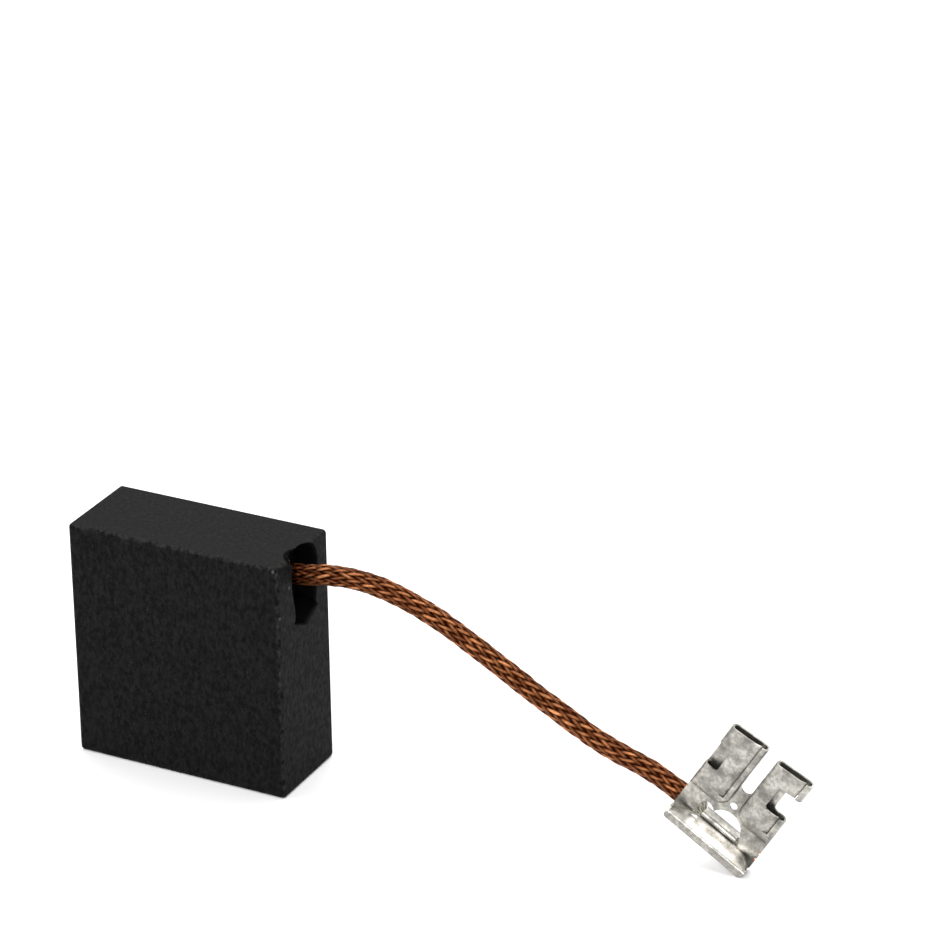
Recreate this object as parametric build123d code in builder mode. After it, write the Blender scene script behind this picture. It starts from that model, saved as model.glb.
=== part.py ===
from build123d import *
import os
from math import cos, pi, radians, sin, tan

os.makedirs("parts", exist_ok=True)

# Carbon brush with one braided copper shunt and a twin flag receptacle, in millimetres.
# The origin is the middle of the contact face, +Z points along the brush towards its top,
# +X towards the narrow face that the shunt leaves from.

# Carbon block
block_width = 44.45
block_thickness = 19.05
block_height = 47.6
block_edge_round = 0.8

# Relief pocket in the narrow face: a round-topped scoop with a pointed foot, which breaks
# through the top edge, and a chip beside its mouth
pocket_depth = 4.0
pocket_width = 9.8
pocket_drift = 0.7
pocket_mouth_width = 5.3
pocket_overshoot = 0.6
pocket_drop = 15.8
pocket_belly_drop = 6.0
pocket_heel_drop = 13.0
pocket_heel_width = 8.2
pocket_floor_share = 0.8
chip_reach = 2.2
chip_half_length = 3.3
chip_shift = -2.4

# Bore for the shunt, filled with tamped powder
bore_diameter = 6.4
bore_depth = 10.2
bore_drop = 5.84
plug_recess = 0.4

# Shunt
shunt_diameter = 4.1
shunt_end_cover = 1.35
shunt_lobe_gap = 0.05

# Terminal sheet and its place on the floor
sheet = 0.4
toe_x = 109.3
plate_front_y = 4.55
crimp_pitch = 31.8

# Twin receptacles, each rolled from the sheet, with the flap's edge curled in at the seam
barrel_width = 7.8
barrel_thickness = 2.1
barrel_spacing = 10.1
barrel_foot = 10.5
mouth_height = 24.5
mouth_slant = 0.8
fold_radius = 0.83
flap_bend_at = 5.5
flap_bend_radius = 2.4
flap_edge_at = 6.4
flap_edge_dip = 0.38
far_roll_edge_at = 6.62
shoulder_foot = 7.5
shoulder_width = 5.2
shoulder_thickness = 0.5
shoulder_sections = 3

# Web, lobes and openings of the plate
plate_foot = 0.6
lobe_corner_round = 0.6
web_slot_foot = 13.2
pilot_diameter = 1.56
pilot_height = 9.3
side_window_foot = 14.0
side_window_height = 5.5
side_window_reach = 2.75
far_cut_foot = 14.7
far_cut_height = 5.7
far_cut_front_reach = 4.5
far_cut_back_reach = 3.2
cut_corner_round = 0.7
edge_notch = 0.35
fold_notch_heights = [6.2, 8.1]
carrier_notch_heights = [3.3, 4.7]

# Window between the lobes, where the crimp wing was cut from
window_left = 3.7
window_right = 14.5
window_arch_left = 6.7
window_arch_right = 12.6
window_arch_foot = 5.7
window_arch_top = 7.8
relief_left = 4.0
relief_left_foot = 5.75
relief_top = 6.4
relief_top_at = 4.75
window_right_waist = 13.6
window_right_waist_height = 4.0
window_right_shoulder = 6.1

# Trough along the foot of the plate: front lip, floor and low rear wall
lip_reach = 3.15
lip_height = 1.75
lip_bend = 0.5
lip_corner_round = 0.7
trough_wall_height = 1.0
left_bow_length = 4.2
left_bow_setback = 0.6
right_bow_length = 3.8
wall_end_drop = 0.75
wall_end_length = 1.7
wall_gap_start = 3.6
wall_gap_length = 1.4

# Crimp wing, rolled over the shunt behind the trough
wing_start = 5.3
wing_length = 7.6
wing_gap = 0.3
wing_depth = 2.9
wing_height = 3.0
wing_foot = 0.75
wing_bend = 0.65
wing_link_bends = [0.25, 0.4]
wing_edge_height = 2.6
strand_stub = 0.9
flare_start = 3.7
tube_rise = 0.15
last_run = 9.3


# Derived sizes of the terminal

plate_width = barrel_spacing + barrel_width
slot_width = barrel_spacing - barrel_width
barrel_lefts = [0.0, barrel_spacing]
barrel_front = barrel_thickness - sheet
flap_middle = sheet / 2 - barrel_front
fold_roundness = (2 * fold_radius + sheet) / barrel_thickness
quarter_turn = 90
lip_middle = lip_reach - sheet / 2
floor_middle = lip_height - sheet / 2
wall_top = lip_height + trough_wall_height
crimp_depth = wing_depth - 2 * sheet
crimp_height = wing_height - 2 * sheet
crimp_centre = (wing_gap + wing_depth / 2, wing_foot + wing_height / 2)
tube_centre = (sheet + shunt_lobe_gap + shunt_diameter / 2, crimp_centre[1] + tube_rise)

# The plate's own plane: x runs along the crimp from the shunt's side to the toe, y runs up
# the receptacles and z points out of the plate's front face. The lip's rounded toe corner
# rests on the floor.
crimp_dir = Vector(cos(radians(crimp_pitch)), 0, -sin(radians(crimp_pitch)))
toe_sink = lip_corner_round * (crimp_dir.X - crimp_dir.Z - 1)
toe = Vector(toe_x, plate_front_y, -toe_sink)
plate_plane = Plane(origin=toe - crimp_dir * plate_width, x_dir=crimp_dir, z_dir=(0, -1, 0))
up_barrels = Axis(plate_plane.origin, plate_plane.y_dir)


def across_crimp(along):
    """Plane square to the crimp: x is the depth behind the plate's front, y is the height."""
    start = plate_plane.from_local_coords(Vector(along, 0, 0))
    return Plane(origin=start, x_dir=-plate_plane.z_dir, z_dir=plate_plane.x_dir)


def across_barrels(height):
    """Plane square to the receptacles: x runs along the crimp, y is the depth behind the front."""
    start = plate_plane.from_local_coords(Vector(0, height, 0))
    return Plane(origin=start, x_dir=plate_plane.x_dir, z_dir=plate_plane.y_dir)


def crimp_point(along, depth, height):
    """Point given along the crimp, behind the plate's front and up the receptacles."""
    place = plate_plane.from_local_coords(Vector(along, height, -depth))
    return (place.X, place.Y, place.Z)


# Carbon block

bore_height = block_height - bore_drop
side_face = Plane(origin=(block_width / 2, 0, 0), x_dir=(0, 1, 0), z_dir=(1, 0, 0))
pocket_floor = side_face.offset(-pocket_depth)
pocket_middle = block_height - (pocket_drop - pocket_overshoot) / 2


def pocket_outline(share):
    """Outline of the relief pocket, drawn in towards its middle by the share."""

    def place(side_reach, drop):
        height = block_height - drop
        return (pocket_drift + share * side_reach, pocket_middle + share * (height - pocket_middle))

    with BuildLine() as outline:
        for side in (-1, 1):
            Spline(
                place(0, -pocket_overshoot),
                place(side * pocket_mouth_width / 2, 0),
                place(side * pocket_width / 2, pocket_belly_drop),
                place(side * pocket_heel_width / 2, pocket_heel_drop),
                place(0, pocket_drop),
                tangents=[(side, 0), (-side, -0.4)],
            )
    return outline.line


with BuildPart() as carbon_block:
    with BuildSketch(Plane.XY):
        Rectangle(block_width, block_thickness)
    extrude(amount=block_height)
    fillet(carbon_block.edges(), radius=block_edge_round)
    with BuildSketch(side_face):
        add(pocket_outline(1))
        make_face()
    with BuildSketch(pocket_floor):
        add(pocket_outline(pocket_floor_share))
        make_face()
    loft(mode=Mode.SUBTRACT)
    with BuildSketch(pocket_floor):
        with Locations((0, bore_height)):
            Circle(bore_diameter / 2)
    extrude(amount=-bore_depth, mode=Mode.SUBTRACT)
    chip_stand = (chip_half_length**2 - chip_reach**2) / (2 * chip_reach)
    chip_radius = (chip_half_length**2 + 2 * chip_stand**2) ** 0.5
    with Locations((block_width / 2 + chip_stand, chip_shift, block_height + chip_stand)):
        Sphere(chip_radius, mode=Mode.SUBTRACT)
carbon_block.part.label = "carbon_block"


# Shunt: straight out of the bore, up in a low arch and down to the terminal

shunt_start_x = block_width / 2 - pocket_depth - bore_depth + shunt_end_cover
route = [
    (shunt_start_x, 0.0, bore_height),
    (19.6, 0.0, 41.76),
    (30.0, 0.0, 44.03),
    (39.0, 0.35, 43.17),
    (48.5, 1.1, 39.44),
    (59.0, 2.3, 32.76),
    (70.5, 3.9, 24.72),
    (80.9, 5.5, 17.9),
    crimp_point(flare_start - last_run, *tube_centre),
    crimp_point(flare_start, *tube_centre),
]


def bend_radii(points):
    """Radius at each inner point: 0.45 of its shorter run over the tangent of half the turn."""
    corners = [Vector(*point) for point in points]
    radii = []
    for before, here, after in zip(corners, corners[1:], corners[2:]):
        half_turn = (here - before).get_angle(after - here) / 2
        shorter = min((here - before).length, (after - here).length)
        radii.append(0.45 * shorter / tan(radians(half_turn)))
    return radii


radii = bend_radii(route)
print("bend radii", [round(radius, 1) for radius in radii])

with BuildPart() as shunt:
    with BuildLine() as shunt_path:
        FilletPolyline(*route, radius=radii)
    with BuildSketch(Plane(origin=route[0], z_dir=(1, 0, 0))):
        Circle(shunt_diameter / 2)
    sweep(path=shunt_path.wires()[0])
    path_length = shunt_path.wires()[0].length
    tube_share = shunt.part.volume / (pi * shunt_diameter**2 / 4 * path_length)
    print("shunt length", round(path_length, 1), "volume over section times length", round(tube_share, 4))
    with BuildSketch(across_crimp(flare_start)):
        with Locations(tube_centre):
            Circle(shunt_diameter / 2)
    with BuildSketch(across_crimp(wing_start)) as pressed:
        with Locations(crimp_centre):
            RectangleRounded(crimp_depth, crimp_height, wing_bend - sheet / 2)
    loft()
    extrude(pressed.sketch, amount=wing_length + strand_stub)
shunt.part.label = "shunt"


# Tamped powder between the shunt and the bore

with BuildPart() as tamped_plug:
    with BuildSketch(pocket_floor.offset(-plug_recess)):
        with Locations((0, bore_height)):
            Circle(bore_diameter / 2)
    extrude(amount=plug_recess - bore_depth)
    add(shunt.part, mode=Mode.SUBTRACT)
tamped_plug.part.label = "tamped_plug"


# Trough of the terminal, formed from the same sheet as the plate

with BuildPart() as trough:
    with BuildSketch(across_crimp(0)):
        with BuildLine():
            FilletPolyline(
                (-lip_middle, 0),
                (-lip_middle, floor_middle),
                (-lip_middle + 3 * lip_bend, floor_middle),
                radius=lip_bend,
            )
        trace(line_width=sheet)
    extrude(amount=plate_width)
    fillet(trough.edges().filter_by(Axis.Y).group_by(up_barrels)[0], radius=lip_corner_round)
    with BuildSketch(across_barrels(lip_height - sheet)):
        with BuildLine():
            right_bow = EllipticalCenterArc(
                (plate_width - right_bow_length, -lip_middle),
                right_bow_length - sheet / 2,
                lip_middle - sheet / 2,
                start_angle=0,
                arc_size=quarter_turn,
            )
            left_bow = EllipticalCenterArc(
                (left_bow_length, -lip_middle + left_bow_setback),
                left_bow_length - sheet / 2,
                lip_middle - left_bow_setback - sheet / 2,
                start_angle=quarter_turn,
                arc_size=quarter_turn,
            )
            Line(right_bow @ 1, left_bow @ 0)
            Polyline(left_bow @ 1, (sheet / 2, -lip_middle), right_bow @ 0)
        make_face()
    extrude(amount=sheet)
    with BuildSketch(across_barrels(lip_height - sheet)):
        with BuildLine():
            Line(right_bow @ 1, left_bow @ 0)
            add([right_bow, left_bow])
        trace(line_width=sheet)
    extrude(amount=sheet + trough_wall_height)
    with BuildSketch(across_barrels(lip_height)):
        with Locations((wall_gap_start + wall_gap_length / 2, -left_bow_setback)):
            Rectangle(wall_gap_length, 2 * left_bow_setback)
    extrude(amount=2 * trough_wall_height, mode=Mode.SUBTRACT)
    with BuildSketch(plate_plane.offset(lip_reach)):
        with BuildLine():
            Polyline(
                (plate_width - wall_end_length, wall_top),
                (plate_width + sheet, wall_top - wall_end_drop),
                (plate_width + sheet, wall_top + sheet),
                (plate_width - wall_end_length, wall_top + sheet),
                close=True,
            )
        make_face()
    extrude(amount=-lip_reach, mode=Mode.SUBTRACT)


# Flag terminal: one tinned sheet with two receptacles, web, lobes, trough and crimp wing


def closed_section(left, width, thickness):
    """Flattened round section in the current sketch, its back level with the plate's."""
    with Locations((left + width / 2, sheet - thickness / 2)):
        RectangleRounded(width, thickness, fold_roundness * thickness / 2)


def rolled_sheet(left):
    """Middle line of a receptacle's sheet, from the flap's curled edge round to the far roll."""
    near_side = left + sheet / 2
    far_side = left + barrel_width - sheet / 2
    with BuildLine() as sheet_line:
        FilletPolyline(
            (left + flap_edge_at, flap_middle + flap_edge_dip),
            (left + flap_bend_at, flap_middle),
            (near_side, flap_middle),
            (near_side, sheet / 2),
            (far_side, sheet / 2),
            (far_side, flap_middle),
            (left + far_roll_edge_at, flap_middle),
            radius=[flap_bend_radius, fold_radius, fold_radius, fold_radius, fold_radius],
        )
    return sheet_line.line


with BuildPart() as flag_terminal:
    # Plate with its lobes and web
    with BuildSketch(plate_plane) as lobes:
        with Locations((plate_width / 2, (plate_foot + barrel_foot) / 2)):
            Rectangle(plate_width, barrel_foot - plate_foot)
        fillet(lobes.vertices().group_by(Axis.Y)[0], radius=lobe_corner_round)
        with Locations((plate_width / 2, (barrel_foot + web_slot_foot + slot_width) / 2)):
            Rectangle(slot_width + barrel_thickness, web_slot_foot + slot_width - barrel_foot)
        with Locations((plate_width / 2, pilot_height)):
            Circle(pilot_diameter / 2, mode=Mode.SUBTRACT)
        with BuildLine():
            arch_middle = ((window_arch_left + window_arch_right) / 2, window_arch_top)
            Polyline(
                (relief_left, relief_left_foot),
                (window_left, plate_foot - sheet),
                (window_right, plate_foot - sheet),
                (window_right_waist, window_right_waist_height),
                (window_arch_right, window_right_shoulder),
            )
            ThreePointArc(
                (window_arch_right, window_right_shoulder), arch_middle, (window_arch_left, window_arch_foot)
            )
            Spline(
                (window_arch_left, window_arch_foot),
                (relief_top_at, relief_top),
                (relief_left, relief_left_foot),
            )
        make_face(mode=Mode.SUBTRACT)
    extrude(amount=-sheet)

    # Shoulders, where each receptacle rises out of its lobe like a pillow's end
    for left, lobe_left in zip(barrel_lefts, (0.0, plate_width - shoulder_width)):
        for section in range(shoulder_sections):
            climb = section / (shoulder_sections - 1)
            swell = climb * (2 - climb)
            with BuildSketch(across_barrels(shoulder_foot + climb * (barrel_foot - shoulder_foot))):
                closed_section(
                    lobe_left + swell * (left - lobe_left),
                    shoulder_width + swell * (barrel_width - shoulder_width),
                    shoulder_thickness + swell * (barrel_thickness - shoulder_thickness),
                )
        loft()
    # Notches in the outer edges, at the near fold and where the carrier strip was sheared off
    with BuildSketch(plate_plane.offset(sheet)):
        with Locations([(0, height) for height in fold_notch_heights]):
            RegularPolygon(edge_notch, 4, rotation=45)
        with Locations([(plate_width, height) for height in carrier_notch_heights]):
            RegularPolygon(edge_notch, 4, rotation=45)
    extrude(amount=-2 * sheet, mode=Mode.SUBTRACT)

    # Receptacles, with their mouths cut at a slant
    for left in barrel_lefts:
        with BuildSketch(across_barrels(barrel_foot)):
            trace(rolled_sheet(left), line_width=sheet)
        extrude(amount=mouth_height - barrel_foot)
        with BuildSketch(plate_plane.offset(barrel_front)):
            with BuildLine():
                Polyline(
                    (left - sheet, mouth_height - mouth_slant),
                    (left + barrel_width + sheet, mouth_height),
                    (left + barrel_width + sheet, mouth_height + sheet),
                    (left - sheet, mouth_height + sheet),
                    close=True,
                )
            make_face()
        extrude(amount=-barrel_thickness, mode=Mode.SUBTRACT)

    # Slot between the receptacles, and the cuts in their outer sides
    with BuildSketch(plate_plane):
        with Locations((plate_width / 2, web_slot_foot + slot_width / 2)):
            Circle(slot_width / 2)
        with Locations((plate_width / 2, mouth_height)):
            Rectangle(slot_width, 2 * (mouth_height - web_slot_foot - slot_width / 2))
    extrude(amount=-sheet, mode=Mode.SUBTRACT)
    with BuildSketch(plate_plane.offset(barrel_front)) as side_window:
        with Locations((side_window_reach / 2, side_window_foot + side_window_height / 2)):
            Rectangle(side_window_reach, side_window_height)
        fillet(side_window.vertices().group_by(Axis.X)[-1], radius=cut_corner_round)
    extrude(amount=-barrel_front, mode=Mode.SUBTRACT)
    with BuildSketch(plate_plane.offset(barrel_front)) as far_cut:
        with Locations((plate_width - far_cut_front_reach / 2, far_cut_foot + far_cut_height / 2)):
            Rectangle(far_cut_front_reach, far_cut_height)
        fillet(far_cut.vertices().group_by(Axis.X)[0], radius=cut_corner_round)
    extrude(amount=-barrel_front, mode=Mode.SUBTRACT)
    with BuildSketch(plate_plane) as far_cut_back:
        with Locations((plate_width - far_cut_back_reach / 2, far_cut_foot + far_cut_height / 2)):
            Rectangle(far_cut_back_reach, far_cut_height)
        fillet(far_cut_back.vertices().group_by(Axis.X)[0], radius=cut_corner_round)
    extrude(amount=-sheet, mode=Mode.SUBTRACT)

    # Trough and crimp wing
    add(trough.part)
    with BuildSketch(across_barrels(lip_height - sheet)):
        with Locations((plate_width / 2, 0)):
            Rectangle(window_right - window_left + 2 * sheet, sheet)
    extrude(amount=sheet)
    with BuildSketch(across_crimp(wing_start)):
        with BuildLine():
            wing_near = wing_gap + sheet / 2
            wing_far = wing_gap + wing_depth - sheet / 2
            wing_low = wing_foot + sheet / 2
            wing_high = wing_foot + wing_height - sheet / 2
            FilletPolyline(
                (-sheet, floor_middle),
                (sheet / 2, floor_middle),
                (sheet / 2 + floor_middle - wing_low, wing_low),
                (wing_far, wing_low),
                (wing_far, wing_high),
                (wing_near, wing_high),
                (wing_near, wing_edge_height),
                radius=[*wing_link_bends, wing_bend, wing_bend, wing_bend],
            )
        trace(line_width=sheet)
    extrude(amount=wing_length)
flag_terminal.part.label = "flag_terminal"

for piece in (carbon_block, tamped_plug, shunt, flag_terminal):
    export_step(piece.part, f"parts/{piece.part.label}.step")
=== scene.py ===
from collections import namedtuple
from math import cos, pi, radians, sin

import bpy
import numpy as np
from mathutils import Matrix, Vector


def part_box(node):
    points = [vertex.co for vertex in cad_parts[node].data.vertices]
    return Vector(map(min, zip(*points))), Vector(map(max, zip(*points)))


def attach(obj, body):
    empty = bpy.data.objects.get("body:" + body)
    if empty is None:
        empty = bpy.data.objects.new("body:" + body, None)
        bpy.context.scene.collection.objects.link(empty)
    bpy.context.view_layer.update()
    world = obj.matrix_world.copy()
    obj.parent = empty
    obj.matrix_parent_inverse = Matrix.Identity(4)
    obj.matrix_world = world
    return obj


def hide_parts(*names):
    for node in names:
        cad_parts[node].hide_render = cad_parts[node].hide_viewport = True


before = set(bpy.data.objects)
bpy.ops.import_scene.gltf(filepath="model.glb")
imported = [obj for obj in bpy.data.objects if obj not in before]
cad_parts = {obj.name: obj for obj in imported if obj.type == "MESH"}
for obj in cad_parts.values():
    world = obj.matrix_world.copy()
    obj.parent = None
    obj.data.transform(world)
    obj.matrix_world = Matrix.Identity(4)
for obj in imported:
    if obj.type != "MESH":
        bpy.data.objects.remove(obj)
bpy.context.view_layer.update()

bl_info = {
    "name": "Carbon brush finish",
    "version": (1, 0, 0),
    "blender": (4, 5, 0),
    "location": "3D View > Sidebar > Carbon brush",
    "description": "Braids the copper shunt of a carbon brush and finishes its block and terminal",
    "category": "Object",
}

BLOCK_LOW, BLOCK_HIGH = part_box("carbon_block")

# Route of the shunt, from its buried end in the bore to the terminal's flare
SHUNT_ROUTE = [
    (0.009375, 0.0, 0.04176),
    (0.0196, 0.0, 0.04176),
    (0.0300, 0.0, 0.04403),
    (0.0390, 0.00035, 0.04317),
    (0.0485, 0.0011, 0.03944),
    (0.0590, 0.0023, 0.03276),
    (0.0705, 0.0039, 0.02472),
    (0.0809, 0.0055, 0.0179),
    (0.090592, 0.00705, 0.014159),
    (0.098496, 0.00705, 0.009259),
]
# The stretch that the crimp presses flat, in line with the wing
PRESSED_START = (0.099777, 0.0063, 0.008288)
PRESSED_END = (0.107001, 0.0063, 0.003809)

# The terminal's own directions: along the crimp and up the receptacles
TERMINAL_CORNER = Vector((0.094087, 0.00455, 0.009169))
CRIMP_PITCH = radians(31.8)
CRIMP_DIRECTION = Vector((cos(CRIMP_PITCH), 0, -sin(CRIMP_PITCH)))
BARREL_DIRECTION = Vector((sin(CRIMP_PITCH), 0, cos(CRIMP_PITCH)))
# Height of the trough's floor above the terminal's corner, and how far off it counts as floor or not, for
# the painted highlight on that floor
TROUGH_FLOOR = 0.00175
ON_FLOOR = 0.0002
OFF_FLOOR = 0.0003
# Fresh chips on the block's edges beside the pocket
CHIPS = [(0.0214, -0.0095, 0.0470), (0.0222, -0.0089, 0.0374), (0.0222, -0.0052, 0.0420)]
# Shear marks on the lobe's outer edge, as distances along the crimp and up the receptacles
SHEAR_MARKS = [(0.0178, 0.0031), (0.0179, 0.0049)]

# How strongly specks, worn edges with their painted edge highlight, and chips show on the carbon
SPECK_STRENGTH = 0.3
EDGE_WEAR_AND_HIGHLIGHT_STRENGTH = 0.35
CHIP_STRENGTH = 0.4
# The most that dust and painted top light cover of the carbon, where a face lies level
TOP_LIGHT_AND_DUST_STRENGTH = 0.6
# Tone that the mottling leaves to the copper and the tin where it is darkest
COPPER_LEAST_TONE = 0.6
TIN_LEAST_TONE = 0.5

# Bundles of the braid: how level they run between crossings, and how deep the grooves of their wires are
LEVEL_RUN = 1.6
GROOVE_SHARE = 0.8
# A bundle's slow changes: distance between random values, and the length added so that they reach its end
WANDER_STEP = 0.0023
WANDER_SPARE = 0.006
# The changes sink a bundle by this share of the weave height, and narrow it from its widest
SINK_SHARE = 0.6
WIDEST_SHARE = 1.04
NARROWING_SHARE = 0.16
# Tone of the bundles: the darkest and brightest, and how much it changes along one of them
DARKEST_TONE = 0.6
BRIGHTEST_TONE = 1.0
TONE_CHANGE = 0.5
# Length coordinate of the wire bump, for each metre of a bundle
WIRE_PLACE_RATE = 40
# The core: its depth below the bundles' middle as a share of their thickness, its corners and its tone
CORE_SINK_SHARE = 0.55
CORE_RIM = 12
CORE_TONE = 0.6
BRAID_SEED = 7

# Width of the camera's sensor, in millimetres, and the point that every soft box faces
SENSOR_WIDTH = 36.0
LIGHT_AIM = Vector((0.04, 0.0, 0.02))

# The shunt's middle line: points, distances from the buried end, two directions square to the line,
# and the share of its full thickness that the crimp leaves
ShuntLine = namedtuple("ShuntLine", "points stations sides lifts pressed")


class ShuntSettings(bpy.types.PropertyGroup):
    """Sizes and colours of the braided shunt."""

    diameter: bpy.props.FloatProperty(
        name="Diameter", description="Outside of the round braid", default=0.0041, unit="LENGTH"
    )
    length: bpy.props.FloatProperty(
        name="Length", description="From the buried end to the crimped end", default=0.109, unit="LENGTH"
    )
    pressed_share: bpy.props.FloatProperty(
        name="Pressed share",
        description="Thickness inside the crimp over the free diameter",
        default=0.5,
        min=0.0,
        max=1.0,
        subtype="FACTOR",
    )
    carriers: bpy.props.IntProperty(
        name="Bundles each way",
        description="Bundles that wind in each direction",
        default=16,
        subtype="UNSIGNED",
    )
    pitch: bpy.props.FloatProperty(
        name="Braid pitch", description="Length of one full turn of a bundle", default=0.05, unit="LENGTH"
    )
    weave_height: bpy.props.FloatProperty(
        name="Weave height", description="How far a bundle moves in and out", default=0.00023, unit="LENGTH"
    )
    bundle_width: bpy.props.FloatProperty(
        name="Bundle width", description="Width of one bundle of wires", default=0.00066, unit="LENGTH"
    )
    bundle_thickness: bpy.props.FloatProperty(
        name="Bundle thickness",
        description="Thickness of one bundle of wires",
        default=0.00044,
        unit="LENGTH",
    )
    bundle_lay: bpy.props.FloatProperty(
        name="Bundle lay",
        description="Length of one twist of the wires in a bundle",
        default=0.012,
        unit="LENGTH",
    )
    wires: bpy.props.IntProperty(
        name="Ridges", description="Ridges of wire round one bundle", default=5, subtype="UNSIGNED"
    )
    unevenness: bpy.props.FloatProperty(
        name="Unevenness", description="Sideways wander of a bundle", default=0.09, subtype="ANGLE"
    )
    # Painted reflection: the bundles that wind one way are darker, in place of the highlight that only the
    # other way's wires catch
    off_glint_tone: bpy.props.FloatProperty(
        name="Tarnished share",
        description="Tone of the bundles that wind the duller way",
        default=0.45,
        min=0.0,
        max=1.0,
        subtype="FACTOR",
    )
    station_gap: bpy.props.FloatProperty(
        name="Ring gap", description="Distance between the rings of a bundle", default=0.0004, unit="LENGTH"
    )
    # Painted shade in the gaps between the bundles: the copper darkens from the crowns in towards the middle
    # line
    dark_radius: bpy.props.FloatProperty(
        name="Dark radius", description="Radius at which the gaps are dark", default=0.00155, unit="LENGTH"
    )
    gap_contrast: bpy.props.FloatProperty(
        name="Gap contrast", description="How fast the wires darken towards the gaps", default=3.0
    )
    soldered_length: bpy.props.FloatProperty(
        name="Tinned length", description="Tinned end in the crimp", default=0.0108, unit="LENGTH"
    )
    # Painted shade on the shunt in the pocket and just out of it, where the pocket's walls shade it
    braid_pocket_shade: bpy.props.FloatProperty(
        name="Soiling",
        description="How far carbon dust darkens the shunt in the pocket",
        default=0.8,
        min=0.0,
        max=1.0,
        subtype="FACTOR",
    )
    braid_pocket_shade_reach: bpy.props.FloatProperty(
        name="Soiling reach",
        description="How far out of the pocket the carbon dust reaches",
        default=0.002,
        unit="LENGTH",
    )
    braid_pocket_shade_fade: bpy.props.FloatProperty(
        name="Soiling fade",
        description="Length over which the carbon dust fades out",
        default=0.0025,
        unit="LENGTH",
    )
    copper: bpy.props.FloatVectorProperty(
        name="Copper", description="Bright copper wire", default=(0.82, 0.33, 0.135), subtype="COLOR"
    )
    # The dark copper is also the colour of the painted shade in the braid's gaps
    dark_copper: bpy.props.FloatVectorProperty(
        name="Dark copper", description="Oxidised copper wire", default=(0.05, 0.009, 0.002), subtype="COLOR"
    )
    solder: bpy.props.FloatVectorProperty(
        name="Tinned end",
        description="Strands tinned for the crimp",
        default=(0.42, 0.4, 0.33),
        subtype="COLOR",
    )


class BlockSettings(bpy.types.PropertyGroup):
    """Colours and grain of the carbon block, with painted top light, edge highlight and pocket shade, and of
    the powder in its bore.
    """

    carbon: bpy.props.FloatVectorProperty(
        name="Carbon",
        description="Ground electrographite",
        default=(0.0029, 0.0029, 0.003),
        subtype="COLOR",
    )
    light_carbon: bpy.props.FloatVectorProperty(
        name="Light grain",
        description="Lighter grain of the carbon",
        default=(0.0098, 0.0098, 0.0099),
        subtype="COLOR",
    )
    # Lighter colour of level faces: dust and painted top light
    dust_and_painted_light: bpy.props.FloatVectorProperty(
        name="Dust",
        description="Carbon dust that lies on the top",
        default=(0.0165, 0.0161, 0.0158),
        subtype="COLOR",
    )
    # Painted shade inside the relief pocket, which darkens with depth below the faces
    pocket_shade_carbon: bpy.props.FloatVectorProperty(
        name="Recess carbon",
        description="Unrubbed carbon inside the relief pocket",
        default=(0.0005, 0.0005, 0.0005),
        subtype="COLOR",
    )
    pocket_shade_depth: bpy.props.FloatProperty(
        name="Recess depth",
        description="Depth below a face where the carbon is all unrubbed",
        default=0.0007,
        unit="LENGTH",
    )
    speck: bpy.props.FloatVectorProperty(
        name="Speck",
        description="Pale specks and chipped edges",
        default=(0.13, 0.125, 0.12),
        subtype="COLOR",
    )
    grain_size: bpy.props.FloatProperty(
        name="Grain size", description="Width of the coarse grain", default=0.0007, unit="LENGTH"
    )
    # Reach of the lighter edges: wear and a painted edge highlight
    edge_width: bpy.props.FloatProperty(
        name="Edge wear width", description="How far the worn edges reach", default=0.0007, unit="LENGTH"
    )
    chip_size: bpy.props.FloatProperty(
        name="Chip size", description="Reach of a fresh chip", default=0.00035, unit="LENGTH"
    )
    powder: bpy.props.FloatVectorProperty(
        name="Powder", description="Tamped copper powder", default=(0.10, 0.045, 0.025), subtype="COLOR"
    )
    powder_flake: bpy.props.FloatVectorProperty(
        name="Powder flake",
        description="Bright flakes in the tamped powder",
        default=(0.4, 0.19, 0.09),
        subtype="COLOR",
    )


class TerminalSettings(bpy.types.PropertyGroup):
    """Colours and stains of the tinned terminal, and the painted highlight on its trough's floor."""

    tin: bpy.props.FloatVectorProperty(
        name="Tin", description="Bright tin plating", default=(0.48, 0.46, 0.42), subtype="COLOR"
    )
    dull_tin: bpy.props.FloatVectorProperty(
        name="Dull tin", description="Stained tin plating", default=(0.18, 0.173, 0.158), subtype="COLOR"
    )
    bare_brass: bpy.props.FloatVectorProperty(
        name="Bare metal",
        description="Sheared edge without plating",
        default=(0.42, 0.2, 0.11),
        subtype="COLOR",
    )
    # Painted highlight: near-white colour on the trough's floor, where the light from above reflects
    trough_highlight_tin: bpy.props.FloatVectorProperty(
        name="Clean tin", description="Tin inside the trough", default=(0.93, 0.91, 0.87), subtype="COLOR"
    )
    stain_size: bpy.props.FloatProperty(
        name="Stain size", description="Width of the stains in the plating", default=0.003, unit="LENGTH"
    )
    bare_spot_size: bpy.props.FloatProperty(
        name="Bare spot size",
        description="Reach of the bare metal at the shear marks",
        default=0.0005,
        unit="LENGTH",
    )


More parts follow.
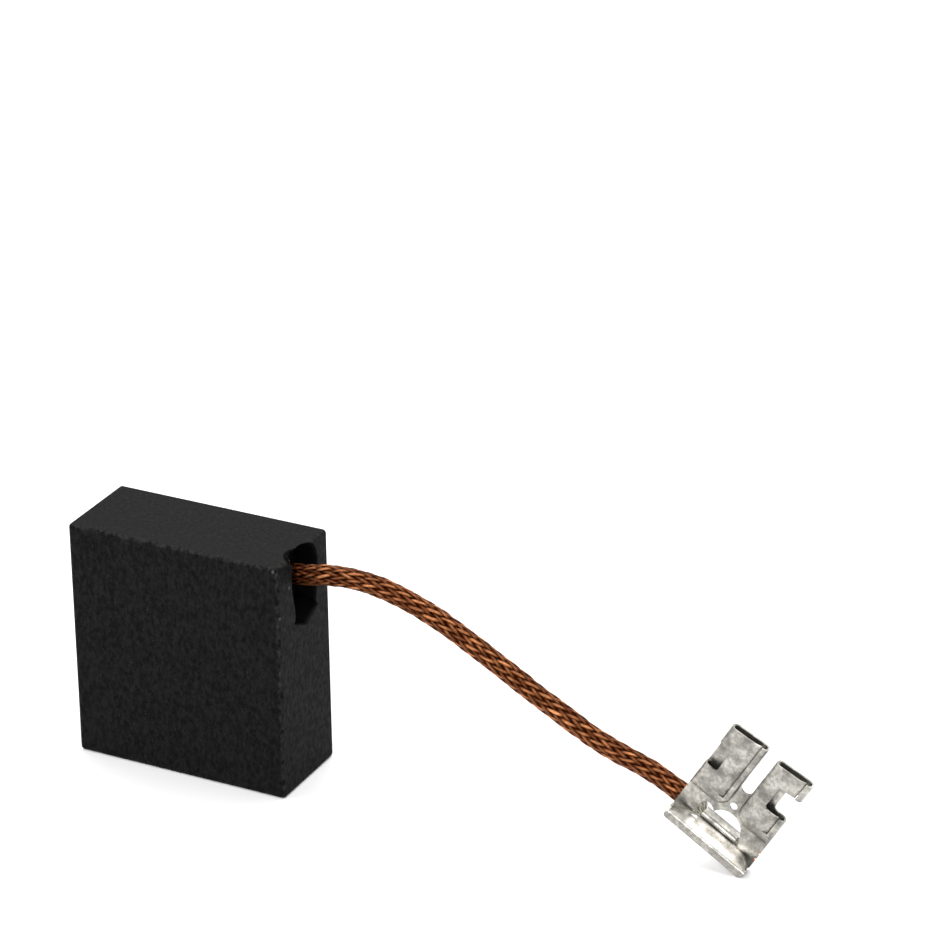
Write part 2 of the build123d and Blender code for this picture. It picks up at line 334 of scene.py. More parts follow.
class StageSettings(bpy.types.PropertyGroup):
    """Camera, light and floor."""

    azimuth: bpy.props.FloatProperty(
        name="Azimuth", description="Camera's turn from the front", default=radians(27.49), subtype="ANGLE"
    )
    elevation: bpy.props.FloatProperty(
        name="Elevation",
        description="Camera's height over the horizon",
        default=radians(25.10),
        subtype="ANGLE",
    )
    roll: bpy.props.FloatProperty(
        name="Roll",
        description="Camera's turn about its own axis",
        default=radians(-0.812),
        subtype="ANGLE",
    )
    camera_place: bpy.props.FloatVectorProperty(
        name="Camera place",
        description="Where the camera stands",
        default=(0.37274, -0.60926, 0.39325),
        subtype="TRANSLATION",
    )
    lens: bpy.props.FloatProperty(
        name="Lens",
        description="Focal length on a 36 mm sensor, in millimetres",
        default=166.45,
        unit="CAMERA",
    )
    floor_size: bpy.props.FloatProperty(
        name="Floor size", description="Side of the square floor", default=6.0, unit="LENGTH"
    )
    floor_colour: bpy.props.FloatVectorProperty(
        name="Floor colour", description="Plain pale floor", default=(0.92, 0.92, 0.92), subtype="COLOR"
    )
    sky_strength: bpy.props.FloatProperty(
        name="Sky strength", description="Light from all round", default=0.3
    )
    key_power: bpy.props.FloatProperty(
        name="Key light", description="Power of the wide soft panel overhead", default=70.0, unit="POWER"
    )
    side_power: bpy.props.FloatProperty(
        name="Side light", description="Power of the soft box at the left", default=8.0, unit="POWER"
    )
    front_power: bpy.props.FloatProperty(
        name="Front light", description="Power of the soft box in front", default=10.0, unit="POWER"
    )


def new_material(name):
    """Empty node material with its Principled shader and output joined."""
    material = bpy.data.materials.new(name)
    material.use_nodes = True
    tree = material.node_tree
    tree.nodes.clear()
    shader = tree.nodes.new("ShaderNodeBsdfPrincipled")
    output = tree.nodes.new("ShaderNodeOutputMaterial")
    tree.links.new(shader.outputs["BSDF"], output.inputs["Surface"])
    return material, tree, shader


def set_input(tree, socket, value):
    """Join another node's socket to an input, or set it to a value."""
    if isinstance(value, bpy.types.NodeSocket):
        tree.links.new(value, socket)
    else:
        socket.default_value = value


def add_node(tree, kind, inputs=(), **settings):
    """Node with its settings and inputs made."""
    node = tree.nodes.new(kind)
    for name, value in settings.items():
        setattr(node, name, value)
    for name, value in dict(inputs).items():
        set_input(tree, node.inputs[name], value)
    return node


def calculated(tree, operation, *values, clamp=False):
    """Result of one sum on sockets or numbers."""
    inputs = dict(enumerate(values))
    return add_node(tree, "ShaderNodeMath", inputs, operation=operation, use_clamp=clamp).outputs[0]


def vector_result(tree, operation, *values):
    """Result of one sum on vectors: a number for a distance or a dot product, else a vector."""
    node = add_node(tree, "ShaderNodeVectorMath", dict(enumerate(values)), operation=operation)
    return node.outputs["Value" if operation in ("DISTANCE", "DOT_PRODUCT") else "Vector"]


def remapped(tree, value, low, high, to_low=0.0, to_high=1.0):
    """Value moved from one range to another, and held at the ends of the second."""
    inputs = {"Value": value, "From Min": low, "From Max": high, "To Min": to_low, "To Max": to_high}
    return add_node(tree, "ShaderNodeMapRange", inputs).outputs[0]


def split_axes(tree, vector):
    """The three numbers of a vector, by axis."""
    return add_node(tree, "ShaderNodeSeparateXYZ", {"Vector": vector}).outputs


def object_place(tree):
    """Place on the object, in metres."""
    return add_node(tree, "ShaderNodeTexCoord").outputs["Object"]


def facing(tree):
    """Direction that the surface faces."""
    return add_node(tree, "ShaderNodeNewGeometry").outputs["Normal"]


def bump_normal(tree, height, distance, strength):
    """Normal of a height that changes over the surface."""
    inputs = {"Height": height, "Distance": distance, "Strength": strength}
    return add_node(tree, "ShaderNodeBump", inputs).outputs["Normal"]


def with_alpha(colour):
    """Colour of a setting as the four numbers that a node takes."""
    return (*colour, 1.0)


def mixed_colour(tree, mask, first, second):
    """Colour that goes from the first to the second as a mask goes from 0 to 1."""
    node = add_node(tree, "ShaderNodeMix", data_type="RGBA")
    # The sockets for numbers and vectors stand before those for colours and have the same names
    set_input(tree, node.inputs[0], mask)
    set_input(tree, node.inputs[6], first)
    set_input(tree, node.inputs[7], second)
    return node.outputs[2]


def new_group(name, inputs, outputs):
    """Node group with named sockets; returns the tree, its input node and its output node."""
    group = bpy.data.node_groups.new(name, "ShaderNodeTree")
    for socket_name, socket_type, default in inputs:
        socket = group.interface.new_socket(socket_name, in_out="INPUT", socket_type=socket_type)
        socket.default_value = default
    for socket_name in outputs:
        group.interface.new_socket(socket_name, in_out="OUTPUT", socket_type="NodeSocketFloat")
    return group, group.nodes.new("NodeGroupInput"), group.nodes.new("NodeGroupOutput")


def placed_group(tree, group, **inputs):
    """A shared group in a material, with this material's own values."""
    node = tree.nodes.new("ShaderNodeGroup")
    node.node_tree = group
    for name, value in inputs.items():
        set_input(tree, node.inputs[name.replace("_", " ").capitalize()], value)
    return node


def grain_group():
    """Two sizes of grain: a mask of the coarse one, a height, and rare bright specks."""
    name = "Grain"
    if name in bpy.data.node_groups:
        return bpy.data.node_groups[name]
    group, given, result = new_group(
        name,
        inputs=[
            ("Size", "NodeSocketFloat", 0.001),
            ("Stretch", "NodeSocketFloat", 1.0),
            ("Speck limit", "NodeSocketFloat", 0.7),
        ],
        outputs=["Mask", "Height", "Specks"],
    )
    # How much finer the fine grain and the specks are than the coarse grain
    fine_share = 5.0
    speck_share = 1.9
    speck_softness = 0.05
    # Levels of the noise at which the coarse grain is darkest and lightest
    darkest = 0.36
    lightest = 0.66
    place = object_place(group)
    squeeze = add_node(group, "ShaderNodeCombineXYZ", {"X": 1.0, "Y": 1.0, "Z": given.outputs["Stretch"]})
    scaled = vector_result(group, "MULTIPLY", place, squeeze.outputs[0])
    frequency = calculated(group, "DIVIDE", 1.0, given.outputs["Size"])
    coarse = add_node(
        group,
        "ShaderNodeTexNoise",
        {"Vector": scaled, "Scale": frequency, "Detail": 5.0, "Roughness": 0.62},
    )
    fine_frequency = calculated(group, "MULTIPLY", frequency, fine_share)
    fine = add_node(
        group, "ShaderNodeTexNoise", {"Vector": scaled, "Scale": fine_frequency, "Detail": 3.0}
    )
    height = calculated(group, "ADD", coarse.outputs["Fac"], fine.outputs["Fac"])
    speck_frequency = calculated(group, "MULTIPLY", frequency, speck_share)
    speck = add_node(
        group, "ShaderNodeTexNoise", {"Vector": place, "Scale": speck_frequency, "Detail": 1.0}
    )
    speck_limit = given.outputs["Speck limit"]
    speck_top = calculated(group, "ADD", speck_limit, speck_softness)
    group.links.new(remapped(group, coarse.outputs["Fac"], darkest, lightest), result.inputs["Mask"])
    group.links.new(height, result.inputs["Height"])
    group.links.new(remapped(group, speck.outputs["Fac"], speck_limit, speck_top), result.inputs["Specks"])
    return group


def ragged_spot_group():
    """Ragged round patch about a point, for bare or chipped spots."""
    name = "Ragged spot"
    if name in bpy.data.node_groups:
        return bpy.data.node_groups[name]
    group, given, result = new_group(
        name,
        inputs=[("Centre", "NodeSocketVector", (0, 0, 0)), ("Reach", "NodeSocketFloat", 0.001)],
        outputs=["Mask"],
    )
    # Share of the reach, roughened by the noise, at which the patch is whole and at which it is gone
    whole = 1.3
    gone = 1.5
    place = object_place(group)
    apart = vector_result(group, "DISTANCE", place, given.outputs["Centre"])
    share = calculated(group, "DIVIDE", apart, given.outputs["Reach"])
    ragged = add_node(group, "ShaderNodeTexNoise", {"Vector": place, "Scale": 2200.0, "Detail": 3.0})
    rough_share = calculated(group, "ADD", share, ragged.outputs["Fac"])
    group.links.new(remapped(group, rough_share, gone, whole), result.inputs["Mask"])
    return group


def recess_group():
    """Mask of what lies below the faces of a box, which grows to 1 at a full depth."""
    name = "Recess"
    if name in bpy.data.node_groups:
        return bpy.data.node_groups[name]
    group, given, result = new_group(
        name,
        inputs=[
            ("Middle", "NodeSocketVector", (0, 0, 0)),
            ("Half size", "NodeSocketVector", (1, 1, 1)),
            ("Full depth", "NodeSocketFloat", 0.001),
        ],
        outputs=["Mask"],
    )
    centred = vector_result(group, "SUBTRACT", object_place(group), given.outputs["Middle"])
    off_middle = vector_result(group, "ABSOLUTE", centred)
    below = split_axes(group, vector_result(group, "SUBTRACT", given.outputs["Half size"], off_middle))
    least = calculated(group, "MINIMUM", below["X"], below["Y"])
    least = calculated(group, "MINIMUM", least, below["Z"])
    mask = calculated(group, "DIVIDE", least, given.outputs["Full depth"], clamp=True)
    group.links.new(mask, result.inputs["Mask"])
    return group


def recess_mask(tree, low, high, full_depth):
    """Mask of what lies below the faces of the box between two corners."""
    middle = (low + high) / 2
    half_size = (high - low) / 2
    node = placed_group(tree, recess_group(), middle=middle, half_size=half_size, full_depth=full_depth)
    return node.outputs["Mask"]


def box_edge_mask(tree, low, high, width):
    """Mask that grows towards the edges of a box, where two of its faces meet."""
    centred = vector_result(tree, "SUBTRACT", object_place(tree), (low + high) / 2)
    off_middle = split_axes(tree, vector_result(tree, "ABSOLUTE", centred))
    near = []
    for axis, half in zip("XYZ", (high - low) / 2):
        near.append(remapped(tree, off_middle[axis], half - width, half))
    edge = 0.0
    for first, second in ((0, 1), (1, 2), (2, 0)):
        pair = calculated(tree, "MULTIPLY", near[first], near[second])
        edge = calculated(tree, "MAXIMUM", edge, pair)
    return edge


def trough_highlight_mask(tree):
    """Mask of the painted highlight on the trough's floor, by its height on the terminal and the way it
    faces.
    """
    height = vector_result(tree, "DOT_PRODUCT", object_place(tree), BARREL_DIRECTION)
    floor_height = TERMINAL_CORNER.dot(BARREL_DIRECTION) + TROUGH_FLOOR
    off_floor = calculated(tree, "ABSOLUTE", calculated(tree, "SUBTRACT", height, floor_height))
    near = remapped(tree, off_floor, OFF_FLOOR, ON_FLOOR)
    upward = vector_result(tree, "DOT_PRODUCT", facing(tree), BARREL_DIRECTION)
    level = remapped(tree, upward, low=0.6, high=0.85)
    return calculated(tree, "MULTIPLY", near, level)


def carbon_material(settings):
    """Electrographite: near-black, fine-grained, with pale specks, worn edges with a painted highlight,
    painted top light and painted shade in the pocket.
    """
    material, tree, shader = new_material("Electrographite")
    grain = placed_group(tree, grain_group(), size=settings.grain_size, stretch=0.6, speck_limit=0.738)
    mask = grain.outputs["Mask"]
    body = mixed_colour(tree, mask, with_alpha(settings.carbon), with_alpha(settings.light_carbon))
    # Painted top light with dust: faces that lie level turn lighter
    upward = split_axes(tree, facing(tree))["Z"]
    dust_and_painted_light = remapped(tree, upward, low=0.5, high=0.95, to_high=TOP_LIGHT_AND_DUST_STRENGTH)
    top_lit_and_dusty = mixed_colour(tree, dust_and_painted_light, body, with_alpha(settings.dust_and_painted_light))
    # Painted shade: darker carbon the deeper a face lies in the pocket
    recess = recess_mask(tree, BLOCK_LOW, BLOCK_HIGH, settings.pocket_shade_depth)
    pocket_shaded = mixed_colour(tree, recess, top_lit_and_dusty, with_alpha(settings.pocket_shade_carbon))
    # Lighter edges: wear and a painted edge highlight
    edges = box_edge_mask(tree, BLOCK_LOW, BLOCK_HIGH, settings.edge_width)
    worn_and_highlit = calculated(tree, "MULTIPLY", edges, mask, clamp=True)
    speck_share = calculated(tree, "MULTIPLY", grain.outputs["Specks"], SPECK_STRENGTH)
    edge_wear_and_highlight_share = calculated(tree, "MULTIPLY", worn_and_highlit, EDGE_WEAR_AND_HIGHLIGHT_STRENGTH)
    pale = calculated(tree, "MAXIMUM", speck_share, edge_wear_and_highlight_share)
    for chip in CHIPS:
        patch = placed_group(tree, ragged_spot_group(), centre=chip, reach=settings.chip_size)
        chip_share = calculated(tree, "MULTIPLY", patch.outputs["Mask"], CHIP_STRENGTH)
        pale = calculated(tree, "MAXIMUM", chip_share, pale)
    colour = mixed_colour(tree, pale, pocket_shaded, with_alpha(settings.speck))
    tree.links.new(colour, shader.inputs["Base Color"])
    roughness = remapped(tree, mask, 0.0, 1.0, to_low=0.62, to_high=0.48)
    tree.links.new(roughness, shader.inputs["Roughness"])
    normal = bump_normal(tree, grain.outputs["Height"], distance=0.00006, strength=0.8)
    tree.links.new(normal, shader.inputs["Normal"])
    shader.inputs["Specular IOR Level"].default_value = 0.03
    return material


def powder_material(settings):
    """Tamped copper powder: dark, reddish and granular."""
    material, tree, shader = new_material("Tamped powder")
    grain = placed_group(tree, grain_group(), size=0.0004, stretch=1.0, speck_limit=0.62)
    mask = grain.outputs["Mask"]
    flakes = grain.outputs["Specks"]
    body = mixed_colour(tree, mask, with_alpha(settings.carbon), with_alpha(settings.powder))
    colour = mixed_colour(tree, flakes, body, with_alpha(settings.powder_flake))
    tree.links.new(colour, shader.inputs["Base Color"])
    tree.links.new(flakes, shader.inputs["Metallic"])
    normal = bump_normal(tree, grain.outputs["Height"], distance=0.00012, strength=0.8)
    tree.links.new(normal, shader.inputs["Normal"])
    shader.inputs["Roughness"].default_value = 0.7
    return material


def copper_material(settings):
    """Bare copper wire, with painted shade in the gaps between the crowns of the braid and painted shade
    where it lies in the pocket.
    """
    material, tree, shader = new_material("Braided copper")
    grain = placed_group(tree, grain_group(), size=0.0016, stretch=1.0, speck_limit=0.7)
    tone = add_node(tree, "ShaderNodeAttribute", attribute_name="strand_tone").outputs["Fac"]
    # Painted shade in the braid's gaps, full where the crown light is 0
    crown_light = add_node(tree, "ShaderNodeAttribute", attribute_name="crown_light").outputs["Fac"]
    soldered = add_node(tree, "ShaderNodeAttribute", attribute_name="soldered").outputs["Fac"]
    # Painted shade on the shunt in the pocket and a little way out of it
    shaded_high = BLOCK_HIGH + Vector((settings.braid_pocket_shade_reach, 0, 0))
    in_pocket = recess_mask(tree, BLOCK_LOW, shaded_high, settings.braid_pocket_shade_fade)
    braid_shade = calculated(tree, "MULTIPLY", in_pocket, settings.braid_pocket_shade)
    unshaded = calculated(tree, "SUBTRACT", 1.0, braid_shade)
    share = calculated(tree, "MULTIPLY", crown_light, tone)
    unshaded_share = calculated(tree, "MULTIPLY", share, unshaded)
    mottling = calculated(tree, "ADD", grain.outputs["Mask"], COPPER_LEAST_TONE)
    shade = calculated(tree, "MULTIPLY", unshaded_share, mottling, clamp=True)
    wire = mixed_colour(tree, shade, with_alpha(settings.dark_copper), with_alpha(settings.copper))
    colour = mixed_colour(tree, soldered, wire, with_alpha(settings.solder))
    tree.links.new(colour, shader.inputs["Base Color"])
    roughness = remapped(tree, grain.outputs["Mask"], 0.0, 1.0, to_low=0.4, to_high=0.28)
    tree.links.new(roughness, shader.inputs["Roughness"])
    wire_place = add_node(tree, "ShaderNodeUVMap", uv_map="wires").outputs["UV"]
    wires = add_node(
        tree,
        "ShaderNodeTexWave",
        {"Vector": wire_place, "Scale": 3.2, "Distortion": 1.2, "Detail": 1.0},
        wave_type="BANDS",
        bands_direction="X",
    )
    normal = bump_normal(tree, wires.outputs["Fac"], distance=0.00005, strength=0.5)
    tree.links.new(normal, shader.inputs["Normal"])
    shader.inputs["Metallic"].default_value = 1.0
    return material


def tin_material(settings):
    """Tin plating, stained in patches, with bare metal where the strip was sheared and a painted highlight
    on the trough's floor.
    """
    material, tree, shader = new_material("Tinned brass")
    stain = placed_group(tree, grain_group(), size=settings.stain_size, stretch=1.0, speck_limit=0.8)
    grain = placed_group(tree, grain_group(), size=0.0006, stretch=1.0, speck_limit=0.72)
    mottling = calculated(tree, "ADD", grain.outputs["Mask"], TIN_LEAST_TONE)
    shade = calculated(tree, "MULTIPLY", stain.outputs["Mask"], mottling, clamp=True)
    plating = mixed_colour(tree, shade, with_alpha(settings.dull_tin), with_alpha(settings.tin))
    # Painted highlight on the trough's floor
    plating = mixed_colour(tree, trough_highlight_mask(tree), plating, with_alpha(settings.trough_highlight_tin))
    bare = 0.0
    for along, height in SHEAR_MARKS:
        spot = TERMINAL_CORNER + CRIMP_DIRECTION * along + BARREL_DIRECTION * height
        patch = placed_group(tree, ragged_spot_group(), centre=spot, reach=settings.bare_spot_size)
        bare = calculated(tree, "MAXIMUM", patch.outputs["Mask"], bare)
    colour = mixed_colour(tree, bare, plating, with_alpha(settings.bare_brass))
    tree.links.new(colour, shader.inputs["Base Color"])
    roughness = remapped(tree, stain.outputs["Mask"], 0.0, 1.0, to_low=0.46, to_high=0.27)
    tree.links.new(roughness, shader.inputs["Roughness"])
    normal = bump_normal(tree, grain.outputs["Height"], distance=0.00004, strength=0.35)
    tree.links.new(normal, shader.inputs["Normal"])
    shader.inputs["Metallic"].default_value = 1.0
    return material


def dress(node, material):
    """Put one material on a carried-over piece, in place of the plain one."""
    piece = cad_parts[node]
    piece.data.materials.clear()
    piece.data.materials.append(material)


def spline_points(name, route):
    """Points along the smooth line that the route's points control, from one end to the other."""
    curve = bpy.data.curves.new(name, "CURVE")
    curve.dimensions = "3D"
    spline = curve.splines.new("NURBS")
    spline.points.add(len(route) - 1)
    for point, place in zip(spline.points, route):
        point.co = (*place, 1.0)
    spline.order_u = 3
    spline.use_endpoint_u = True
    spline.resolution_u = 32
    holder = bpy.data.objects.new(name, curve)
    mesh = bpy.data.meshes.new_from_object(holder)
    points = np.array([vertex.co for vertex in mesh.vertices])
    bpy.data.meshes.remove(mesh)
    bpy.data.objects.remove(holder)
    bpy.data.curves.remove(curve)
    return points


def evenly_spaced(points, gap):
    """The same line with its points a gap apart, and the distance of each from the start."""
    steps = np.linalg.norm(np.diff(points, axis=0), axis=1)
    distance = np.concatenate([[0.0], np.cumsum(steps)])
    stations = np.linspace(0.0, distance[-1], round(distance[-1] / gap) + 1)
    line = np.stack([np.interp(stations, distance, points[:, axis]) for axis in range(3)], axis=1)
    return line, stations


def unit(vectors):
    """Each vector at length one."""
    return vectors / np.linalg.norm(vectors, axis=-1, keepdims=True)


def steady_sides(line):
    """Two directions square to the line at each point, which turn about it as little as they can."""
    along = unit(np.gradient(line, axis=0))
    side = np.array([0.0, 1.0, 0.0])
    sides = []
    for direction in along:
        side = side - np.dot(side, direction) * direction
        side = side / np.linalg.norm(side)
        sides.append(side)
    sides = np.array(sides)
    return sides, np.cross(along, sides)


def shunt_line(settings):
    """Line of the shunt from its buried end to its pressed one."""
    free_points = spline_points("shunt_route", SHUNT_ROUTE)
    whole = np.concatenate([free_points, [PRESSED_START, PRESSED_END]])
    points, stations = evenly_spaced(whole, settings.station_gap)
    sides, lifts = steady_sides(points)
    pressed_length = (Vector(PRESSED_END) - Vector(PRESSED_START)).length
    flare = (Vector(PRESSED_START) - Vector(SHUNT_ROUTE[-1])).length
    ease = np.clip((stations[-1] - pressed_length - stations) / flare, 0.0, 1.0)
    ease = ease * ease * (3 - 2 * ease)
    pressed = settings.pressed_share + (1 - settings.pressed_share) * ease
    return ShuntLine(points, stations, sides, lifts, pressed)


def slow_wander(generator, stations):
    """Smooth random value from 0 to 1 along the stations, for the unevenness of one bundle."""
    knots = np.arange(stations[0], stations[-1] + WANDER_SPARE, WANDER_STEP)
    return np.interp(stations, knots, generator.random(len(knots)))


def oval_rings(centre, across, outward, wide, thick, corner):
    """Ring of points about each point of a line, with half widths and angles for each point of a ring."""
    return (
        centre[:, None, :]
        + (wide * np.cos(corner))[..., None] * across[:, None, :]
        + (thick * np.sin(corner))[..., None] * outward[:, None, :]
    )


def bundles_radius(settings):
    """Radius of the middle of the bundles, halfway between over and under."""
    return settings.diameter / 2 - settings.weave_height - settings.bundle_thickness / 2


def bundle_rings(settings, shunt, direction, number, generator):
    """Rings of one bundle, which winds one way, over two and under two, and its tone at each."""
    # The bundles that wind this way get a painted loss of their highlight
    off_glint = direction > 0
    turns = shunt.stations / settings.pitch
    angle = 2 * pi * (number / settings.carriers + direction * turns)
    # A wave of four crossings, two over and two under, which the other way starts half a wave later
    crossings = 2 * settings.carriers * turns
    phase = 2 * number + direction * crossings - 0.5 + (0 if off_glint else 2)
    over = np.tanh(LEVEL_RUN * np.cos(pi / 2 * phase)) / np.tanh(LEVEL_RUN)
    wander = slow_wander(generator, shunt.stations)
    angle = angle + settings.unevenness * (slow_wander(generator, shunt.stations) - 0.5)
    radius = bundles_radius(settings) + settings.weave_height * (over - SINK_SHARE * wander)
    outward = np.cos(angle)[:, None] * shunt.sides + np.sin(angle)[:, None] * shunt.lifts
    centre = shunt.points + (shunt.pressed * radius)[:, None] * outward
    along = unit(np.gradient(centre, axis=0))
    across = unit(np.cross(along, outward))
    outward = np.cross(across, along)
    rim = 2 * settings.wires
    ridge = np.tile([1.0, GROOVE_SHARE], settings.wires)
    twist = 2 * pi * shunt.stations / settings.bundle_lay
    corner = 2 * pi * np.arange(rim) / rim + twist[:, None]
    narrowed = WIDEST_SHARE - NARROWING_SHARE * wander
    wide = (shunt.pressed * settings.bundle_width / 2 * narrowed)[:, None] * ridge
    thick = (shunt.pressed * settings.bundle_thickness / 2)[:, None] * ridge
    rings = oval_rings(centre, across, outward, wide, thick, corner)
    tone = generator.uniform(DARKEST_TONE, BRIGHTEST_TONE)
    tone = tone + TONE_CHANGE * slow_wander(generator, shunt.stations) - TONE_CHANGE / 2
    return rings, tone * (settings.off_glint_tone if off_glint else 1.0)


def core_rings(settings, shunt):
    """Rings of the plain core that closes the gaps between the bundles."""
    core_radius = bundles_radius(settings) - CORE_SINK_SHARE * settings.bundle_thickness
    radius = (shunt.pressed * core_radius)[:, None]
    corner = 2 * pi * np.arange(CORE_RIM) / CORE_RIM
    return oval_rings(shunt.points, shunt.sides, shunt.lifts, radius, radius, corner)


def tube_faces(rings, rim, first):
    """Faces of a closed tube of rings, with its two ends capped."""
    faces = []
    for ring in range(rings - 1):
        for corner in range(rim):
            here = first + ring * rim + corner
            beside = first + ring * rim + (corner + 1) % rim
            faces.append((here, beside, beside + rim, here + rim))
    faces.append(tuple(first + corner for corner in reversed(range(rim))))
    faces.append(tuple(first + (rings - 1) * rim + corner for corner in range(rim)))
    return faces


def bundle_wire_places(settings, stations):
    """Places of the wire bump on one bundle: round its rim and down its length."""
    rim = 2 * settings.wires
    round_rim = np.tile(np.arange(rim) / settings.wires, len(stations))
    down_bundle = np.repeat(WIRE_PLACE_RATE * stations, rim)
    return np.stack([round_rim, down_bundle], axis=-1)


def braid_mesh(settings, shunt):
    """Round braid about the shunt's line: bundles that wind both ways, on a core."""
    generator = np.random.default_rng(BRAID_SEED)
    tubes = []
    wire_places = []
    for direction in (1, -1):
        for number in range(settings.carriers):
            tubes.append(bundle_rings(settings, shunt, direction, number, generator))
            wire_places.append(bundle_wire_places(settings, shunt.stations))
    tubes.append((core_rings(settings, shunt), np.full(len(shunt.points), CORE_TONE)))
    wire_places.append(np.zeros((len(shunt.points) * CORE_RIM, 2)))

    faces = []
    vertices = []
    tones = []
    owners = []
    first = 0
    for rings, tone in tubes:
        count, rim = rings.shape[:2]
        faces += tube_faces(count, rim, first)
        first += count * rim
        vertices.append(rings.reshape(-1, 3))
        tones.append(np.repeat(tone, rim))
        owners.append(np.repeat(np.arange(count), rim))
    vertices = np.concatenate(vertices)
    owners = np.concatenate(owners)

    # Crown light: 1 on the outside of the braid, 0 at the dark radius, so that the gaps get painted shade
    from_line = np.linalg.norm(vertices - shunt.points[owners], axis=1) / shunt.pressed[owners]
    outside = settings.diameter / 2
    depth_share = (from_line - settings.dark_radius) / (outside - settings.dark_radius)
    past_tinning = shunt.stations - shunt.stations[-1] + settings.soldered_length
    values = {
        "strand_tone": np.concatenate(tones),
        "crown_light": np.clip(depth_share, 0.0, 1.0) ** settings.gap_contrast,
        "soldered": np.clip(past_tinning / settings.station_gap, 0.0, 1.0)[owners],
    }
    mesh = bpy.data.meshes.new("braided_shunt")
    mesh.from_pydata(vertices.tolist(), [], faces)
    for name, value in values.items():
        mesh.attributes.new(name, "FLOAT", "POINT").data.foreach_set("value", value)
    corner_vertex = np.empty(len(mesh.loops), dtype=np.int32)
    mesh.loops.foreach_get("vertex_index", corner_vertex)
    corner_places = np.concatenate(wire_places)[corner_vertex].astype(np.float32)
    mesh.uv_layers.new(name="wires").data.foreach_set("uv", corner_places.reshape(-1))
    mesh.polygons.foreach_set("use_smooth", np.ones(len(mesh.polygons), dtype=bool))
    mesh.update()
    return mesh


def add_camera(scene, settings):
    """Camera in front of the brush, a little to its right and above it."""
    camera = bpy.data.objects.new("camera", bpy.data.cameras.new("camera"))
    camera.data.lens = settings.lens
    camera.data.sensor_width = SENSOR_WIDTH
    camera.data.clip_end = 20.0
    turn = (
        Matrix.Rotation(settings.azimuth, 4, "Z")
        @ Matrix.Rotation(pi / 2 - settings.elevation, 4, "X")
        @ Matrix.Rotation(settings.roll, 4, "Z")
    )
    camera.matrix_world = Matrix.Translation(settings.camera_place) @ turn
    scene.collection.objects.link(camera)
    scene.camera = camera


def add_floor(scene, settings):
    """Plain square floor under the brush."""
    half = settings.floor_size / 2
    corners = [(-half, -half, 0), (half, -half, 0), (half, half, 0), (-half, half, 0)]
    mesh = bpy.data.meshes.new("floor")
    mesh.from_pydata(corners, [], [(0, 1, 2, 3)])
    material, tree, shader = new_material("Floor")
    shader.inputs["Base Color"].default_value = with_alpha(settings.floor_colour)
    shader.inputs["Roughness"].default_value = 0.9
    shader.inputs["Specular IOR Level"].default_value = 0.0
    mesh.materials.append(material)
    floor = bpy.data.objects.new("floor", mesh)
    scene.collection.objects.link(floor)


def add_sky(scene, settings):
    """Even white light from all round."""
    world = bpy.data.worlds.new("sky")
    world.use_nodes = True
    background = world.node_tree.nodes["Background"]
    background.inputs["Color"].default_value = (1.0, 1.0, 1.0, 1.0)
    background.inputs["Strength"].default_value = settings.sky_strength
    scene.world = world


def add_soft_light(scene, name, power, side, place):
    """Square soft box that faces the brush."""
    place = Vector(place)
    light = bpy.data.lights.new(name, "AREA")
    light.shape = "SQUARE"
    light.size = side
    light.energy = power
    holder = bpy.data.objects.new(name, light)
    turn = (LIGHT_AIM - place).to_track_quat("-Z", "Y").to_matrix().to_4x4()
    holder.matrix_world = Matrix.Translation(place) @ turn
    scene.collection.objects.link(holder)


class BRUSH_OT_stage(bpy.types.Operator):
    """Set the camera, the soft light and the plain floor."""

    bl_idname = "brush.stage"
    bl_label = "Set the stage"

    def execute(self, context):
        scene = context.scene
        settings = scene.brush_stage
        add_camera(scene, settings)
        add_floor(scene, settings)
        add_sky(scene, settings)
        add_soft_light(scene, "key_light", settings.key_power, side=3.0, place=(0.0, 0.8, 1.8))
        add_soft_light(scene, "side_light", settings.side_power, side=0.8, place=(-1.1, -0.5, 0.7))
        add_soft_light(scene, "front_light", settings.front_power, side=0.7, place=(0.33, -0.93, 0.66))
        scene.view_settings.view_transform = "Standard"
        return {"FINISHED"}


class BRUSH_OT_shunt(bpy.types.Operator):
    """Braid the copper shunt along its route and press its end into the crimp."""

    bl_idname = "brush.shunt"
    bl_label = "Braid the shunt"

    def execute(self, context):
        settings = context.scene.brush_shunt
        line = shunt_line(settings)
        mesh = braid_mesh(settings, line)
        mesh.materials.append(copper_material(settings))
        shunt = bpy.data.objects.new("braided_shunt", mesh)
        context.scene.collection.objects.link(shunt)
        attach(shunt, "root")
        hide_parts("shunt")
        return {"FINISHED"}


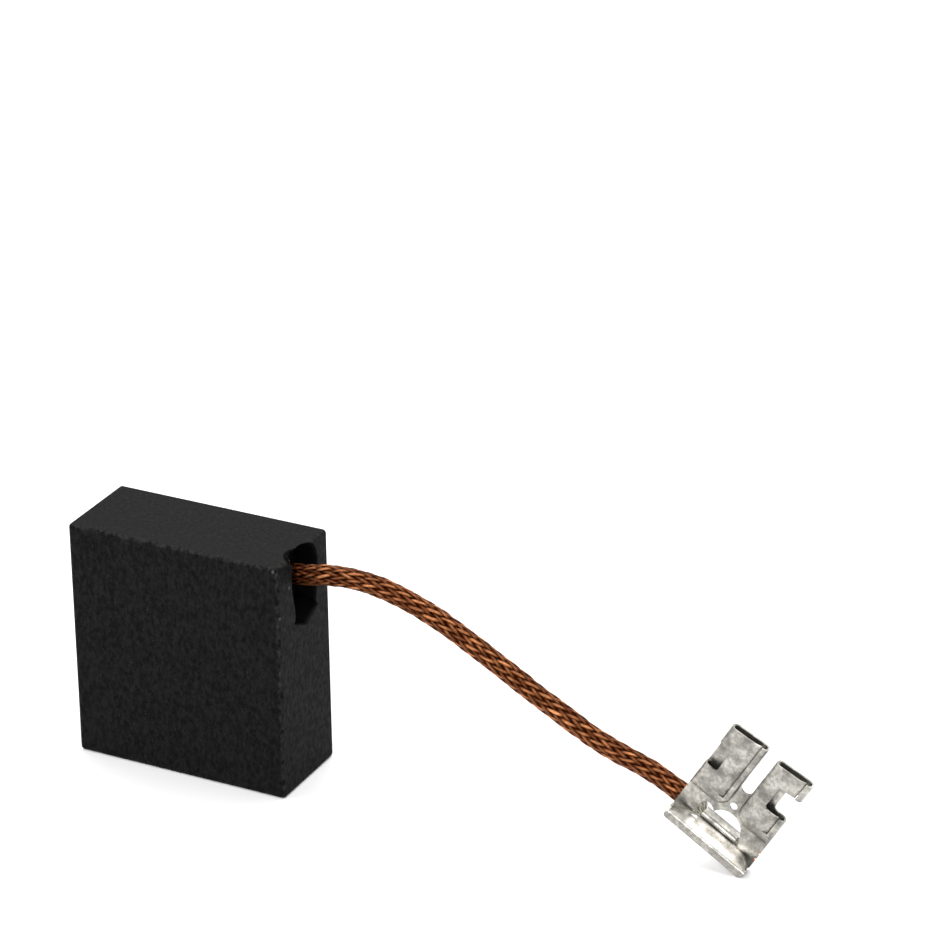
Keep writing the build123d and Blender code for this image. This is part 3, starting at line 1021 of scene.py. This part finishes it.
class BRUSH_OT_block(bpy.types.Operator):
    """Finish the carbon block and the tamped powder in its bore."""

    bl_idname = "brush.block"
    bl_label = "Finish the block"

    def execute(self, context):
        settings = context.scene.brush_block
        dress("carbon_block", carbon_material(settings))
        dress("tamped_plug", powder_material(settings))
        return {"FINISHED"}


class BRUSH_OT_terminal(bpy.types.Operator):
    """Finish the tinned flag terminal."""

    bl_idname = "brush.terminal"
    bl_label = "Finish the terminal"

    def execute(self, context):
        dress("flag_terminal", tin_material(context.scene.brush_terminal))
        return {"FINISHED"}


# Each step's operator, the scene's name for its settings, and their group
STEPS = [
    (BRUSH_OT_stage, "brush_stage", StageSettings),
    (BRUSH_OT_shunt, "brush_shunt", ShuntSettings),
    (BRUSH_OT_block, "brush_block", BlockSettings),
    (BRUSH_OT_terminal, "brush_terminal", TerminalSettings),
]


class BRUSH_PT_panel(bpy.types.Panel):
    """Settings and steps of the carbon brush."""

    bl_idname = "BRUSH_PT_panel"
    bl_label = "Carbon brush"
    bl_space_type = "VIEW_3D"
    bl_region_type = "UI"
    bl_category = "Carbon brush"

    def draw(self, context):
        for operator, scene_name, group in STEPS:
            box = self.layout.box()
            for setting in group.__annotations__:
                box.prop(getattr(context.scene, scene_name), setting)
            box.operator(operator.bl_idname)


def register():
    """Add the settings, the operators and the panel to Blender."""
    for operator, scene_name, group in STEPS:
        bpy.utils.register_class(group)
        setattr(bpy.types.Scene, scene_name, bpy.props.PointerProperty(type=group))
        bpy.utils.register_class(operator)
    bpy.utils.register_class(BRUSH_PT_panel)


def unregister():
    """Take the panel, the operators and the settings out again."""
    bpy.utils.unregister_class(BRUSH_PT_panel)
    for operator, scene_name, group in reversed(STEPS):
        bpy.utils.unregister_class(operator)
        delattr(bpy.types.Scene, scene_name)
        bpy.utils.unregister_class(group)


def main():
    """Build and finish the brush."""
    register()
    bpy.ops.brush.stage()
    bpy.ops.brush.shunt()
    bpy.ops.brush.block()
    bpy.ops.brush.terminal()


if __name__ == "__main__":
    main()
